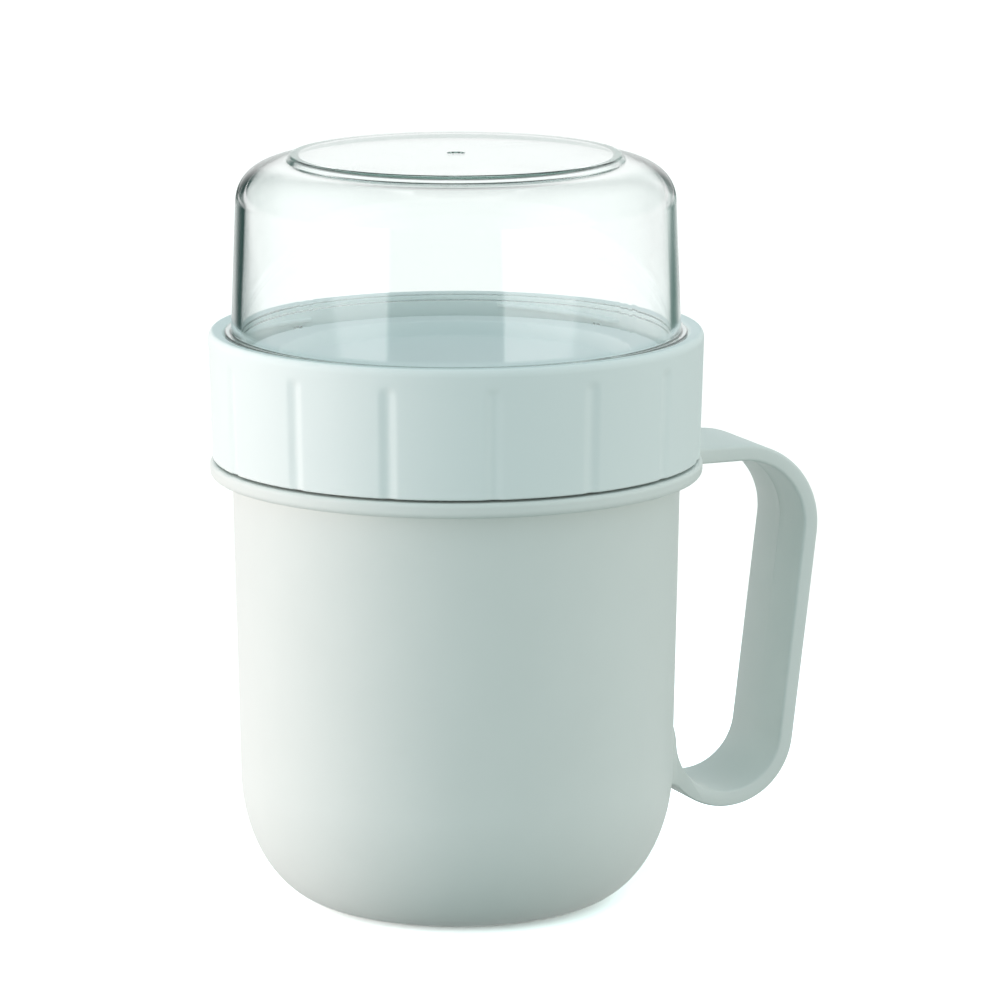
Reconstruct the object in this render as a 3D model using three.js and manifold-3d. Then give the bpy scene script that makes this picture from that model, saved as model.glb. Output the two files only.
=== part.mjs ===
// Two-compartment takeaway cup: a moulded cup with a strap handle, a screw collar that closes it,
// and a clear dome that locks upside down into the collar for dry food.
// Millimetres, +Z up. The origin is the centre of the base, and the handle points along +X.

import * as THREE from 'three';
import { mergeVertices } from 'three/addons/utils/BufferGeometryUtils.js';
import Module from 'manifold-3d';

const wasm = await Module();
wasm.setup();

// Cup
const cupShoulderHeight = 91.0; // base to the top of the flange
const cupMouthRadius = 43.55; // bore at the rim
const cupWall = 2.2;
const cupFloor = 2.4;
const cupDraft = 1.1; // degrees
const cupCornerWidth = 18.3; // the base corner is a quarter ellipse
const cupCornerHeight = 26.8;
const neckHeight = 14.7; // flange to rim
const neckWall = 2.0;
const rimRound = 0.7;
const flangeThickness = 3.1;
const flangeLip = 0.55; // flange beyond the collar's lower edge
const flangeRound = 1.2;

// Strap handle, moulded with the cup
const handleStandoff = 31.0; // cup wall to the outermost point of the strap
const handleWidth = 22.8;
const handleThickness = 3.3;
const handleTopBend = 17.3; // outside radii
const handleBottomBend = 15.1;
const handleFootHeight = 15.1; // base to the lowest point of the strap
const handleRunOut = 7.0; // length over which the lower end fades into the wall
const handleBlend = 1.0; // where the underside of the strap levels out into the wall
const handleEdgeRound = 0.6;

// Screw collar
const collarGap = 0.5; // flange to collar
const skirtWall = 2.15;
const collarDraft = 1.7; // degrees, wider at the top
const collarRimWall = 3.0;
const rimCrestWidth = 1.0; // the outside of the rim is a quarter ellipse
const rimCrestHeight = 1.7;
const rimFall = 0.4; // from the crest down to the inner edge
const collarEdgeRound = 0.5;
const channelFloor = 2.0; // floor of the channel that takes the dome's foot
const channelDepth = 7.65;
const ridgeHeight = 3.4; // ring inside that channel
const ridgeWidth = 6.9;
const ridgeGap = 1.2; // ring to the dome's wall
const trayDepth = 3.0; // sunk middle, below the ring
const traySlope = 1.5;
const trayFloor = 2.0;
const plugWall = 2.0; // ring under the collar that enters the cup's mouth
const plugGap = 1.1;
const plugReach = 3.9;

// Grip grooves round the collar
const grooveCount = 15;
const grooveAngle = 15.5; // degrees from the handle to the first groove
const grooveWidth = 4.2;
const grooveDepth = 0.4;
const grooveTopMargin = 3.5;

// Screw threads between the cup's neck and the collar
const threadStarts = 4;
const threadPitch = 4.0; // between neighbouring ridges
const threadRidge = 1.4; // ridge height along the axis
const threadDepth = 1.2;
const threadClearance = 0.5;
const threadSweep = 60.0; // degrees of each ridge
const threadTopMargin = 1.5; // rim to the highest ridge
const ridgeEndTaper = 4.0; // degrees

// Clear dome
const domeHeight = 41.5;
const domeWall = 2.0;
const domeDraft = 2.3; // degrees
const domeShoulder = 8.6; // height of the rounded shoulder
const plateauRadius = 33.3;
const plateauHeight = 1.3;
const plateauRun = 0.9; // width of the plateau's sloping edge
const footRound = 0.5;
const beadHeight = 1.15; // bead round the wall that closes the gap to the collar's rim
const beadGap = 0.35; // bead to rim
const beadLift = 0.5; // bead above the ramps
const beadRound = 0.3;

// Bayonet between the dome and the collar: pegs on the dome run under ramps in the collar
const pegCount = 4;
const pegWidth = 2.0;
const pegHeight = 1.2;
const pegReach = 1.1;
const pegAngle = 25.7; // degrees from the handle to the first peg
const rampHeight = 1.0;
const rampGap = 0.4;
const rampSweep = 40.0; // degrees
const rampLead = 12.0; // rise in one turn
const pegSeat = 8.0; // degrees from the low end of a ramp to the closed peg
const bayonetClearance = 0.35;

// Silicone rings
const cupSealThickness = 1.6;
const domeSealThickness = 1.2;
const seatGap = 0.3; // between pieces that rest on each other

const roundSides = 56;
const grooveSides = 40;
const ridgeStep = 7.5; // degrees
const bendSteps = 7;
const roundSteps = 2;
const rootDepth = 0.6; // how far ridges and pegs are sunk into the wall that carries them

const radians = THREE.MathUtils.degToRad;
const slopeOf = (degrees) => Math.tan(radians(degrees));
const at = (radius, height) => new THREE.Vector2(radius, height);

// Heights, from the base up
const rimHeight = cupShoulderHeight + neckHeight;
const flangeUnderside = cupShoulderHeight - flangeThickness;
const cupSealBottom = rimHeight + seatGap;
const cupSealTop = cupSealBottom + cupSealThickness;
const channelUnderside = cupSealTop + seatGap;
const channelHeight = channelUnderside + channelFloor;
const collarBottom = cupShoulderHeight + collarGap;
const collarTop = channelHeight + channelDepth;
const ridgeTop = channelHeight + ridgeHeight;
const trayHeight = ridgeTop - trayDepth;
const domeSealBottom = channelHeight + seatGap;
const domeSealTop = domeSealBottom + domeSealThickness;
const domeFoot = domeSealTop + seatGap;
const domeTop = domeFoot + domeHeight;
const pegBottom = domeFoot + seatGap;
const rampBottom = pegBottom + pegHeight + rampGap;
const rampTop = rampBottom + rampHeight + (rampLead * (rampSweep - pegSeat)) / 360;
const beadBottom = rampTop + beadLift;
const beadTop = beadBottom + beadHeight;

// The neck's ridges lie midway between the collar's
const threadLead = threadPitch * threadStarts;
const neckRidgeBottom = rimHeight - threadTopMargin - threadRidge - (threadLead * threadSweep) / 360;
const collarRidgeBottom = neckRidgeBottom - threadPitch / 2;

// Radii, from the cup's mouth outwards
const boreAt = (height) => cupMouthRadius - slopeOf(cupDraft) * (rimHeight - height);
const wallAt = (height) => boreAt(height) + cupWall;
const neckRadius = cupMouthRadius + neckWall;
const skirtBore = neckRadius + threadDepth + threadClearance;
const collarRadiusAt = (height) => skirtBore + skirtWall + slopeOf(collarDraft) * (height - collarBottom);
const flangeRadius = collarRadiusAt(collarBottom) + flangeLip;
const plugRadius = cupMouthRadius - plugGap;
const recessRadius = collarRadiusAt(collarTop) - collarRimWall;
const domeFootRadius = recessRadius - pegReach - bayonetClearance;
const domeRadiusAt = (height) => domeFootRadius - slopeOf(domeDraft) * (height - domeFoot);
const beadRadius = recessRadius - beadGap;
const ridgeRadius = domeFootRadius - domeWall - ridgeGap;

// Points of an elliptical arc in the section plane, between two angles in degrees.
function arc(centreRadius, centreHeight, across, up, from, to, steps) {
  return Array.from({ length: steps + 1 }, (_, step) => {
    const angle = radians(from + ((to - from) * step) / steps);
    return at(centreRadius + across * Math.cos(angle), centreHeight + up * Math.sin(angle));
  });
}

// A rounded outer edge: its widest point is at the given radius and height.
function rounded(radius, height, round, from, to) {
  return arc(radius - round, height, round, round, from, to, roundSteps);
}

// A closed solid from a geometry: only positions count, and collapsed triangles are dropped.
function solidOf(geometry) {
  const bare = geometry.clone();
  bare.deleteAttribute('normal');
  bare.deleteAttribute('uv');
  const merged = mergeVertices(bare);
  const corners = Array.from(merged.index.array);
  const triangles = [];
  for (let first = 0; first < corners.length; first += 3) {
    const triangle = corners.slice(first, first + 3);
    if (new Set(triangle).size === 3) triangles.push(...triangle);
  }
  return new wasm.Manifold(new wasm.Mesh({
    numProp: 3,
    vertProperties: merged.attributes.position.array,
    triVerts: new Uint32Array(triangles),
  }));
}

function meshOf(name, solid, look) {
  const { vertProperties, triVerts } = solid.getMesh();
  const geometry = new THREE.BufferGeometry();
  geometry.setAttribute('position', new THREE.BufferAttribute(vertProperties, 3));
  geometry.setIndex(new THREE.BufferAttribute(triVerts, 1));
  geometry.computeVertexNormals();
  const mesh = new THREE.Mesh(geometry, new THREE.MeshStandardMaterial(look));
  mesh.name = name;
  return mesh;
}

// A section turned about the Z axis. Its points run anticlockwise in the radius and height plane.
function revolve(points) {
  return solidOf(new THREE.LatheGeometry(points, roundSides).rotateX(Math.PI / 2));
}

function revolveRing(points) {
  return revolve([...points, points[0]]);
}

// A ridge on a round wall, climbing anticlockwise with the given lead. Its plan is a sector between the
// root radius and the tip radius, and its ends slope down to the wall.
function helicalRidge({ root, tip, start, sweep, bottom, height, lead, endTaper }) {
  const plan = new THREE.Shape();
  plan.absarc(0, 0, root, 0, radians(sweep), false);
  plan.absarc(0, 0, tip, radians(sweep - endTaper), radians(endTaper), true);
  const ridge = new THREE.ExtrudeGeometry(plan, {
    depth: height,
    curveSegments: Math.ceil(sweep / ridgeStep),
    bevelEnabled: false,
  });
  const place = ridge.attributes.position;
  for (let i = 0; i < place.count; i += 1) {
    const turn = Math.atan2(place.getY(i), place.getX(i)) / (2 * Math.PI);
    place.setZ(i, place.getZ(i) + bottom + lead * turn);
  }
  return solidOf(ridge.rotateZ(radians(start)));
}

// Equal copies round the axis, each made for its own start angle.
function aroundAxis(count, firstAngle, make) {
  return Array.from({ length: count }, (_, copy) => make(firstAngle + (360 * copy) / count));
}

const joined = (first, others) => others.reduce((whole, other) => whole.add(other), first);
const cutBy = (first, cutters) => cutters.reduce((whole, cutter) => whole.subtract(cutter), first);

// Side outline of the strap. Two bends are joined by their common outer tangent, and the inside of the
// lower bend runs tangentially into the cup's wall.
function handleOutline() {
  const reach = wallAt(cupShoulderHeight) + handleStandoff;
  const topCentre = at(reach - handleTopBend, cupShoulderHeight - handleTopBend);
  const lowHeight = handleFootHeight + handleBottomBend;
  const lowCentre = at(wallAt(lowHeight) + handleBottomBend - handleThickness, lowHeight);
  const between = lowCentre.clone().sub(topCentre);
  const narrowing = Math.asin((handleTopBend - handleBottomBend) / between.length());
  const lean = Math.atan2(-between.x, -between.y) + narrowing;
  const edgeRadius = Math.sqrt(wallAt(lowHeight) ** 2 - (handleWidth / 2) ** 2) - cupWall / 2;
  const blendRadius = wallAt(handleFootHeight) + handleBlend;
  const blendAngle = Math.PI + Math.acos((lowCentre.x - blendRadius) / handleBottomBend);
  const blendStart = lowCentre.y + handleBottomBend * Math.sin(blendAngle);
  const blendEnd = blendStart + handleBlend;
  const sunkRadius = boreAt(cupShoulderHeight);

  const outline = new THREE.Shape();
  outline.moveTo(sunkRadius, cupShoulderHeight);
  outline.absarc(topCentre.x, topCentre.y, handleTopBend, Math.PI / 2, -lean, true);
  outline.absarc(lowCentre.x, lowCentre.y, handleBottomBend, -lean, blendAngle - 2 * Math.PI, true);
  outline.quadraticCurveTo(wallAt(blendEnd), blendEnd, edgeRadius, blendEnd);
  outline.lineTo(edgeRadius, lowHeight + handleRunOut);
  outline.absarc(lowCentre.x, lowCentre.y, handleBottomBend - handleThickness, -Math.PI, -lean, false);
  outline.absarc(topCentre.x, topCentre.y, handleTopBend - handleThickness, -lean, Math.PI / 2, false);
  outline.lineTo(sunkRadius, cupShoulderHeight - handleThickness);
  return outline;
}

function strapHandle() {
  const strap = new THREE.ExtrudeGeometry(handleOutline(), {
    depth: handleWidth - 2 * handleEdgeRound,
    curveSegments: bendSteps,
    bevelEnabled: true,
    bevelSize: handleEdgeRound,
    bevelOffset: -handleEdgeRound,
    bevelThickness: handleEdgeRound,
    bevelSegments: roundSteps,
  });
  strap.translate(0, 0, handleEdgeRound - handleWidth / 2);
  return solidOf(strap.rotateX(Math.PI / 2));
}

// Cup: outside and strap joined, then hollowed by the bore, with screw ridges on the neck.
function cup() {
  const cornerRadius = wallAt(cupCornerHeight) - cupCornerWidth;
  const outside = revolve([
    at(0, 0),
    ...arc(cornerRadius, cupCornerHeight, cupCornerWidth, cupCornerHeight, -90, 0, bendSteps),
    at(wallAt(flangeUnderside), flangeUnderside),
    ...rounded(flangeRadius, flangeUnderside + flangeRound, flangeRound, -90, 0),
    ...rounded(flangeRadius, cupShoulderHeight - flangeRound, flangeRound, 0, 90),
    at(neckRadius, cupShoulderHeight),
    ...rounded(neckRadius, rimHeight - rimRound, rimRound, 0, 90),
    at(0, rimHeight),
  ]);
  const bore = revolve([
    at(0, cupFloor),
    ...arc(
      cornerRadius, cupCornerHeight, cupCornerWidth - cupWall, cupCornerHeight - cupFloor, -90, 0, bendSteps,
    ),
    at(cupMouthRadius, rimHeight),
    at(cupMouthRadius, rimHeight + neckHeight),
    at(0, rimHeight + neckHeight),
  ]);
  const ridges = aroundAxis(threadStarts, 0, (start) => helicalRidge({
    root: neckRadius - rootDepth,
    tip: neckRadius + threadDepth,
    start,
    sweep: threadSweep,
    bottom: neckRidgeBottom,
    height: threadRidge,
    lead: threadLead,
    endTaper: ridgeEndTaper,
  }));
  return joined(cutBy(outside.add(strapHandle()), [bore]), ridges);
}

// Collar: one turned section, grip grooves cut into the skirt, screw ridges below and ramps above.
function screwCollar() {
  const ridgeInner = ridgeRadius - ridgeWidth;
  const plugInner = plugRadius - plugWall;
  const trayEdge = ridgeInner - traySlope;
  const crestBottom = collarTop - rimCrestHeight;
  const crestRadius = collarRadiusAt(crestBottom) - rimCrestWidth;
  const section = revolve([
    at(0, trayHeight - trayFloor),
    at(trayEdge + trayFloor / 2, trayHeight - trayFloor),
    at(ridgeInner + trayFloor, ridgeTop - trayFloor),
    at(plugInner, ridgeTop - trayFloor),
    at(plugInner, channelUnderside - plugReach),
    at(plugRadius, channelUnderside - plugReach),
    at(plugRadius, channelUnderside),
    at(skirtBore, channelUnderside),
    at(skirtBore, collarBottom + collarEdgeRound),
    at(skirtBore + collarEdgeRound, collarBottom),
    at(collarRadiusAt(collarBottom) - collarEdgeRound, collarBottom),
    at(collarRadiusAt(collarBottom + collarEdgeRound), collarBottom + collarEdgeRound),
    ...arc(crestRadius, crestBottom, rimCrestWidth, rimCrestHeight, 0, 90, 2 * roundSteps),
    at(recessRadius + collarEdgeRound, collarTop - rimFall),
    at(recessRadius, collarTop - rimFall - collarEdgeRound),
    at(recessRadius, channelHeight),
    at(ridgeRadius, channelHeight),
    at(ridgeRadius, ridgeTop),
    at(ridgeInner, ridgeTop),
    at(trayEdge, trayHeight),
    at(0, trayHeight),
  ]);
  const grooveRadius = ((grooveWidth / 2) ** 2 + grooveDepth ** 2) / (2 * grooveDepth);
  const grooveTop = collarTop - grooveTopMargin - grooveWidth / 2;
  const grooveLength = grooveTop - collarBottom + 2 * grooveRadius;
  const grooves = aroundAxis(grooveCount, grooveAngle, (start) => {
    const groove = new THREE.CapsuleGeometry(grooveRadius, grooveLength, grooveSides / 4, grooveSides);
    groove.rotateX(Math.PI / 2).translate(0, 0, -grooveLength / 2);
    groove.rotateY(radians(collarDraft));
    groove.translate(collarRadiusAt(grooveTop) + grooveRadius - grooveDepth, 0, grooveTop);
    return solidOf(groove.rotateZ(radians(start)));
  });
  const ridges = aroundAxis(threadStarts, 0, (start) => helicalRidge({
    root: skirtBore + rootDepth,
    tip: skirtBore - threadDepth,
    start,
    sweep: threadSweep,
    bottom: collarRidgeBottom,
    height: threadRidge,
    lead: threadLead,
    endTaper: ridgeEndTaper,
  }));
  const ramps = aroundAxis(pegCount, pegAngle - pegSeat, (start) => helicalRidge({
    root: recessRadius + rootDepth,
    tip: recessRadius - pegReach,
    start,
    sweep: rampSweep,
    bottom: rampBottom - (rampLead * pegSeat) / 360,
    height: rampHeight,
    lead: rampLead,
    endTaper: ridgeEndTaper,
  }));
  return joined(cutBy(section, grooves), [...ridges, ...ramps]);
}

// Dome: an even wall with a drafted side, a rounded shoulder and a raised flat top, a bead at the collar's
// rim, and pegs at its foot.
function clearDome() {
  const shoulderHeight = domeTop - plateauHeight - domeShoulder;
  const outerSide = domeRadiusAt(shoulderHeight);
  const plateauEdge = plateauRadius + plateauRun;
  const shoulderWidth = outerSide - plateauEdge;
  const footInner = domeFootRadius - domeWall;
  const wall = revolveRing([
    at(domeFootRadius - footRound, domeFoot),
    at(domeRadiusAt(domeFoot + footRound), domeFoot + footRound),
    at(domeRadiusAt(beadBottom), beadBottom),
    at(beadRadius, beadBottom),
    ...rounded(beadRadius, beadTop - beadRound, beadRound, 0, 90),
    at(domeRadiusAt(beadTop + beadRound) + beadRound, beadTop),
    at(domeRadiusAt(beadTop + beadRound), beadTop + beadRound),
    ...arc(plateauEdge, shoulderHeight, shoulderWidth, domeShoulder, 0, 90, bendSteps),
    at(plateauRadius, domeTop),
    at(0, domeTop),
    at(0, domeTop - domeWall),
    at(plateauRadius - domeWall, domeTop - domeWall),
    ...arc(
      plateauEdge - domeWall, shoulderHeight, shoulderWidth, domeShoulder - domeWall, 90, 0, bendSteps,
    ),
    at(footInner, domeFoot + footRound),
    at(footInner + footRound, domeFoot),
  ]);
  const pegSweep = THREE.MathUtils.radToDeg(pegWidth / domeFootRadius);
  const pegs = aroundAxis(pegCount, pegAngle - pegSweep / 2, (start) => helicalRidge({
    root: domeFootRadius - rootDepth,
    tip: domeFootRadius + pegReach,
    start,
    sweep: pegSweep,
    bottom: pegBottom,
    height: pegHeight,
    lead: rampLead,
    endTaper: 0,
  }));
  return joined(wall, pegs);
}

// Flat silicone gasket.
function sealRing(inner, outer, bottom, top) {
  return revolveRing([at(inner, bottom), at(outer, bottom), at(outer, top), at(inner, top)]);
}

const takeawayCup = new THREE.Group();
takeawayCup.add(
  meshOf('cup', cup(), { color: '#e9ebe8', roughness: 0.55, metalness: 0 }),
  meshOf(
    'cup_seal',
    sealRing(plugRadius + seatGap, skirtBore - seatGap, cupSealBottom, cupSealTop),
    { color: '#f1f2ee', roughness: 0.7, metalness: 0 },
  ),
  meshOf('screw_collar', screwCollar(), { color: '#e4ebe9', roughness: 0.35, metalness: 0 }),
  meshOf(
    'dome_seal',
    sealRing(ridgeRadius + seatGap, domeFootRadius, domeSealBottom, domeSealTop),
    { color: '#f1f2ee', roughness: 0.7, metalness: 0 },
  ),
  meshOf(
    'clear_dome',
    clearDome(),
    { color: '#dfe9e6', roughness: 0.06, metalness: 0, transparent: true, opacity: 0.3 },
  ),
);

export default takeawayCup;
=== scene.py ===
"""Two-compartment takeaway cup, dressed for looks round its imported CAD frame.

The classes hold their sizes in millimetres and degrees, and the meshes are in metres. +Z is up, the
origin is the centre of the base, and the handle points along +X.
"""

import logging
import math
from collections.abc import Callable
from dataclasses import dataclass
from enum import Enum

import bpy
import numpy as np
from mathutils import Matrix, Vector


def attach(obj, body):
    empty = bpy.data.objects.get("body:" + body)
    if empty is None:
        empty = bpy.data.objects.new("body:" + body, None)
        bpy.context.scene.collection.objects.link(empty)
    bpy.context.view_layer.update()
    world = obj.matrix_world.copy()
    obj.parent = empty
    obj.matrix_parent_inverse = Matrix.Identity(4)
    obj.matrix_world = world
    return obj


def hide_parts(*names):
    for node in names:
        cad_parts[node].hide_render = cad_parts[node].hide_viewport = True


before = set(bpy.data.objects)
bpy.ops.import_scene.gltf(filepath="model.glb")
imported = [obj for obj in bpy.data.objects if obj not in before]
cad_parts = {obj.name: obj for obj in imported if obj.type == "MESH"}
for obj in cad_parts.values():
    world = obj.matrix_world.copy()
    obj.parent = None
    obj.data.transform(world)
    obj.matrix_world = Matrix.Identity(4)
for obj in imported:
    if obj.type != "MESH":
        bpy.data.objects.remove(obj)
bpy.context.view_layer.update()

MM = 0.001
FULL_TURN = 2 * math.pi
WHITE = "#FFFFFF"
# Steps along each rounded corner, and the sharpest edge that is shaded smooth.
ROUND_STEPS = 6
SMOOTH_UP_TO = math.radians(52)
# Steps and turns that count as none, vectors without a direction, and the digits of an exact cosine.
TINY = 1e-6
NO_LENGTH = 1e-12
DIGITS = 12
# Values that most of a noise texture lies between, and the middle of a colour ramp.
NOISE_LOW, NOISE_HIGH = 0.3, 0.7
RAMP_MIDDLE = 0.5

Piece = bpy.types.Object
Tree = bpy.types.NodeTree
Socket = bpy.types.NodeSocket
Array = np.ndarray
Amount = float | Array
Colour = tuple[float, float, float, float]
Shell = tuple[Array, list[list[int]]]
Swell = Callable[[Array, Array, Array], Array]
Stops = tuple[tuple[float, str], ...]
log = logging.getLogger("takeaway_cup")


class Body(Enum):
    """The CAD body that a piece moves with."""

    CUP = "cup"
    CUP_SEAL = "cup_seal"
    COLLAR = "collar"
    DOME_SEAL = "dome_seal"
    DOME = "dome"


class Slot(Enum):
    """Names of material slots for the pieces' finishes; nothing in this script uses them."""

    CUP = "cup_plastic"
    COLLAR = "collar_plastic"
    CLEAR = "clear_plastic"
    SILICONE = "silicone"


class Stands(Enum):
    """Which way a ridge stands off the round wall that carries it."""

    OUTWARDS = 1
    INWARDS = -1


# Shape functions


def ease(value: Array, start: float, end: float) -> Array:
    """Smooth step: 0 before start, 1 after end, and 3t² - 2t³ in between.

    Args:
        value: any array.
        start: value at which the step leaves 0.
        end: value at which it reaches 1.

    Returns:
        An array of the same shape, between 0 and 1.
    """
    share = np.clip((value - start) / (end - start), 0, 1)
    return share * share * (3 - 2 * share)


def unit(vectors: Array) -> Array:
    """Scales each row to length 1, and leaves a row of no length at 0."""
    return vectors / np.maximum(np.linalg.norm(vectors, axis=-1, keepdims=True), NO_LENGTH)


def corner(radius: Amount, height: Amount, rounding: float = 0.0) -> Array:
    """Corners of a section line, as rows of radius, height and rounding."""
    return np.column_stack(np.broadcast_arrays(radius, height, rounding))


def superellipse(angle: Array, fullness: float) -> Array:
    """Cosine and sine, each to the power 2 / fullness and with its sign kept."""
    sides = np.stack([np.cos(angle), np.sin(angle)]).round(DIGITS)
    return np.sign(sides) * np.abs(sides) ** (2 / fullness)


def bow(
    centre: tuple[float, float], across: float, up: float, start: float, end: float, count: int,
    fullness: float = 2.0,
) -> Array:
    """Corners along part of a superellipse in the section plane.

    A point lies at across times the superellipse's cosine and up times its sine from the centre. A fullness
    of 2 is an ellipse, and a larger one is squarer.

    Args:
        centre: radius and height of the centre.
        across: half width.
        up: half height.
        start: first angle in degrees.
        end: last angle in degrees.
        count: number of points.
        fullness: exponent of the superellipse.

    Returns:
        Rows of radius, height and a rounding of 0.
    """
    side, rise = superellipse(np.radians(np.linspace(start, end, count)), fullness)
    return corner(centre[0] + across * side, centre[1] + up * rise)


def arc(centre: Array, radius: float, start: float, end: float, count: int) -> Array:
    """Points along a circular arc, with angles in radians."""
    angle = np.linspace(start, end, count)
    return centre + radius * np.column_stack([np.cos(angle), np.sin(angle)])


def rounded(*corners: Array) -> Array:
    """Rounds the corners of an open section line.

    Each corner becomes a circular arc that touches both of its sides. The arc's ends lie at the rounding
    over the tangent of half the corner's angle from the corner, and its points are evenly spaced in angle
    about its centre. A rounding of 0 keeps the corner.

    Args:
        corners: rows of radius, height and rounding, in order along the line.

    Returns:
        Rows of radius and height, with no point twice in a row.
    """
    rows = np.concatenate(corners)
    place, rounding = rows[:, :2], rows[1:-1, 2:]
    middle = place[1:-1]
    back, on = unit(place[:-2] - middle), unit(place[2:] - middle)
    half = 0.5 * np.arccos(np.clip((back * on).sum(1, keepdims=True), -1, 1))
    centre = middle + unit(back + on) * rounding / np.sin(half)
    first = middle + back * rounding / np.tan(half) - centre
    last = middle + on * rounding / np.tan(half) - centre
    turn = np.maximum(math.pi - 2 * half, TINY)[:, :, None]
    share = np.linspace(0, 1, ROUND_STEPS + 1)[None, :, None]
    arcs = centre[:, None] + (
        np.sin((1 - share) * turn) * first[:, None] + np.sin(share * turn) * last[:, None]
    ) / np.sin(turn)
    line = np.concatenate([place[:1], arcs.reshape(-1, 2), place[-1:]])
    moved = np.linalg.norm(np.diff(line, axis=0), axis=1) > TINY
    return line[np.concatenate([[True], moved])]


def braced(line: Array, brace: float = 0.12, spacing: float = 4.0) -> Array:
    """Adds points to a line's long sides, so that flats shade flat and faces stay even.

    A side of over six braces gets a point at one brace from each end, and points at the spacing in between
    that keep three braces from its ends.

    Args:
        line: rows of radius and height.
        brace: length from a side's end to its extra point.
        spacing: greatest length between points along a side.

    Returns:
        Rows of radius and height on the same line.
    """
    length = np.concatenate([[0], np.cumsum(np.linalg.norm(np.diff(line, axis=0), axis=1))])
    clear = 3 * brace
    long = np.diff(length) > 2 * clear
    ends = np.concatenate([length[:-1][long] + brace, length[1:][long] - brace])
    even = np.arange(0, length[-1], spacing)
    side = np.clip(np.searchsorted(length, even, side="right") - 1, 0, len(long) - 1)
    inside = long[side] & (even - length[side] > clear) & (length[side + 1] - even > clear)
    stations = np.unique(np.concatenate([length, ends, even[inside]]))
    return np.column_stack([np.interp(stations, length, line[:, axis]) for axis in (0, 1)])


def off_nearest(angle: Array, features: int, first: float) -> Array:
    """Angle past the nearest of equally spaced features round the axis, all in radians."""
    pitch = FULL_TURN / features
    return (angle - first + pitch / 2) % pitch - pitch / 2


def circle(
    count: int, features: int = 0, first: float = 0.0, spread: float = 0.0, dense: int = 0,
    apart: float = 0.4,
) -> Array:
    """Angles round the axis, closer together at equally spaced features.

    Args:
        count: number of even angles.
        features: number of features round the circle, or 0.
        first: angle of the first feature, in radians.
        spread: half width of a feature, in radians.
        dense: number of angles across a feature.
        apart: least share of an even step between a feature and the next even angle.

    Returns:
        Increasing angles in radians, all within one turn.
    """
    even = np.linspace(0, FULL_TURN, count, endpoint=False)
    if not features:
        return even
    middles = first + np.linspace(0, FULL_TURN, features, endpoint=False)
    near = (middles[:, None] + np.linspace(-spread, spread, dense)).ravel() % FULL_TURN
    away = np.abs(off_nearest(even, features, first))
    return np.sort(np.concatenate([even[away > spread + apart * FULL_TURN / count], near]))


def turned(line: Array, angles: Array, swell: Swell | None = None, ring: bool = False) -> Shell:
    """Turns a section line about the Z axis into a closed shell.

    The point at row i and column j lies at radius r_i plus the swell, angle a_j and height z_i. The line has
    the material on its left. It runs from axis to axis, where a fan of triangles closes it, or round a ring.

    Args:
        line: rows of radius and height.
        angles: increasing angles round the axis, in radians.
        swell: what is added to the radius, as a function of angle, radius and height.
        ring: True if the last row joins the first.

    Returns:
        The points in mm and the faces.
    """
    rows = line if ring else line[1:-1]
    around, radius = np.meshgrid(angles, rows[:, 0])
    height = np.repeat(rows[:, 1:], len(angles), axis=1)
    if swell is not None:
        radius = radius + swell(around, radius, height)
    points = np.stack([radius * np.cos(around), radius * np.sin(around), height], -1).reshape(-1, 3)
    ids = np.arange(len(points)).reshape(radius.shape)
    here, above = (ids, np.roll(ids, -1, 0)) if ring else (ids[:-1], ids[1:])
    faces = np.stack([here, np.roll(here, -1, 1), np.roll(above, -1, 1), above], -1).reshape(-1, 4).tolist()
    if not ring:
        low, high = np.full(len(angles), len(points)), np.full(len(angles), len(points) + 1)
        faces += np.column_stack([low, np.roll(ids[0], -1), ids[0]]).tolist()
        faces += np.column_stack([ids[-1], np.roll(ids[-1], -1), high]).tolist()
        poles = np.column_stack([[0.0, 0.0], [0.0, 0.0], line[[0, -1], 1]])
        points = np.concatenate([points, poles])
    return points, faces


def tube(sections: Array) -> Shell:
    """Closes a row of closed sections into a shell with a flat cap at each end.

    Neighbouring sections are joined by quads. If the shell's signed volume, a sixth of the sum of the corner
    triple products of its triangles, is negative, every face is turned round.

    Args:
        sections: points in mm, shaped sections by points of a section by 3.

    Returns:
        The points in mm and the faces, which point outwards.
    """
    points = sections.reshape(-1, 3)
    ids = np.arange(len(points)).reshape(sections.shape[:2])
    here, on = ids[:-1], ids[1:]
    quads = np.stack([here, np.roll(here, -1, 1), np.roll(on, -1, 1), on], -1).reshape(-1, 4)
    a, b, c, d = (points[quads[:, k]] - points.mean(0) for k in range(4))
    volume = np.einsum("ij,ij", a, np.cross(b, c)) + np.einsum("ij,ij", a, np.cross(c, d))
    faces = quads.tolist() + [ids[0, ::-1].tolist(), ids[-1].tolist()]
    return points, [face[::-1] for face in faces] if volume < 0 else faces


def together(shells: list[Shell]) -> Shell:
    """Puts several shells into one set of points and faces."""
    starts = np.cumsum([0] + [len(points) for points, _ in shells[:-1]])
    faces = [[int(i + start) for i in face] for (_, part), start in zip(shells, starts) for face in part]
    return np.concatenate([points for points, _ in shells]), faces


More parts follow.
